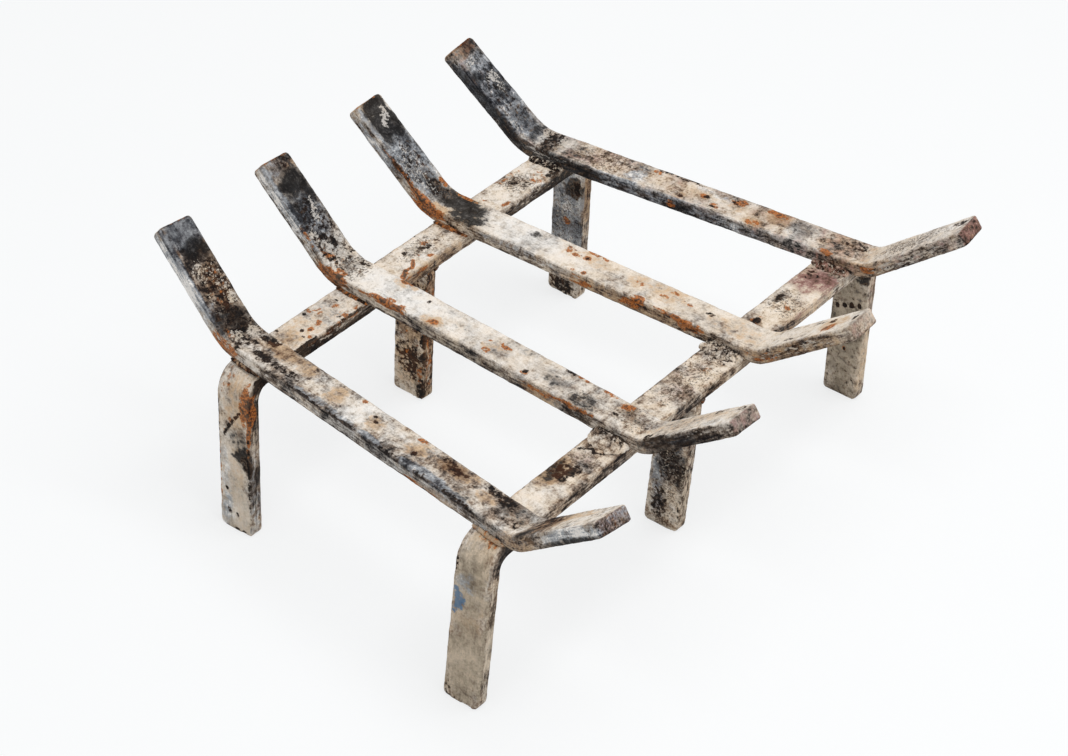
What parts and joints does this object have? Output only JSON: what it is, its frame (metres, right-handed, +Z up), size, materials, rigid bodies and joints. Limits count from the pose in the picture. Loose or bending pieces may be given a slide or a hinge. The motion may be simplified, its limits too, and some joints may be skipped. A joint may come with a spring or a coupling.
{
  "type": "log grate",
  "caption": "Welded flat-bar log grate: bars turned up at both ends lie across staple-shaped rails with short legs.",
  "frame": {"origin": "on the floor, under the middle of the grate, halfway between the bars' two ends and along the rails", "axes": "+X along the rails towards bar 4, +Y towards the upstands with the wider bends, +Z up"},
  "size_m": [0.402, 0.3808, 0.1746],
  "materials": {
    "bar_1": "bare mild steel, sooted upstand, beige fire scale and brown rust",
    "bar_2": "bare mild steel, ash-white fire scale with orange rust and soot",
    "bar_3": "bare mild steel, creamy fire scale with orange rust, dark upstand",
    "bar_4": "bare mild steel, blue-black soot, mottled pinkish scale",
    "rear_rail": "bare mild steel, cream fire scale with rust spots",
    "front_rail": "bare mild steel, pitted beige fire scale with soot patches",
    "rear_middle_leg": "bare mild steel, beige with heavy rust pitting",
    "front_middle_leg": "bare mild steel, beige with soot at the top",
    "weld_bead": "rough weld metal with dark slag and rust"
  },
  "bodies": {
    "root": {"bar_1": "bar_1", "bar_2": "bar_2", "bar_3": "bar_3", "bar_4": "bar_4", "rear_rail": "rear_rail", "front_rail": "front_rail", "rear_middle_leg": "rear_middle_leg", "front_middle_leg": "front_middle_leg", "weld_rear_1_left": "weld_bead", "weld_rear_1_right": "weld_bead", "weld_rear_2_left": "weld_bead", "weld_rear_2_right": "weld_bead", "weld_rear_3_left": "weld_bead", "weld_rear_3_right": "weld_bead", "weld_rear_4_left": "weld_bead", "weld_rear_4_right": "weld_bead", "weld_front_1_left": "weld_bead", "weld_front_1_right": "weld_bead", "weld_front_2_left": "weld_bead", "weld_front_2_right": "weld_bead", "weld_front_3_left": "weld_bead", "weld_front_3_right": "weld_bead", "weld_front_4_left": "weld_bead", "weld_front_4_right": "weld_bead", "weld_rear_leg_left": "weld_bead", "weld_rear_leg_right": "weld_bead", "weld_front_leg_left": "weld_bead", "weld_front_leg_right": "weld_bead"}
  },
  "joints": []
}
